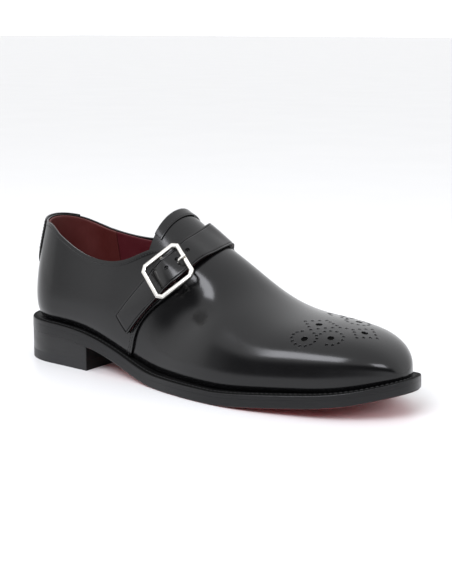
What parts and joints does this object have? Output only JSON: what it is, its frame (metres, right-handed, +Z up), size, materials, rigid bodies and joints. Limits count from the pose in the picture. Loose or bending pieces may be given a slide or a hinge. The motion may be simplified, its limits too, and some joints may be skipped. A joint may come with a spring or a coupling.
{
  "type": "buckle shoe",
  "caption": "Right-foot leather dress shoe with a buckled strap over the instep, a hollow upper on a welted sole and a stacked heel.",
  "frame": {"origin": "on the floor under the middle of the shoe's length and width", "axes": "+X towards the toe, +Y towards the inner (medial) side, -Y towards the outer side with the buckle, +Z up"},
  "size_m": [0.296, 0.1016, 0.1074],
  "materials": {
    "sole_leather": "red painted leather, satin",
    "edge_leather": "black inked and waxed edge",
    "lining_leather": "dark red lining leather, matt",
    "heel_rubber": "black rubber, matt",
    "black_calf": "polished black calf",
    "nickel": "polished nickel plate"
  },
  "bodies": {
    "root": {"outsole": "sole_leather", "welt": "edge_leather", "insole": "lining_leather", "heel_stack": "edge_leather", "heel_top_piece": "heel_rubber", "upper": "black_calf", "heel_tab": "black_calf", "tongue_band": "black_calf", "strap": "black_calf", "buckle_frame": "nickel", "buckle_prong": "nickel"}
  },
  "joints": []
}
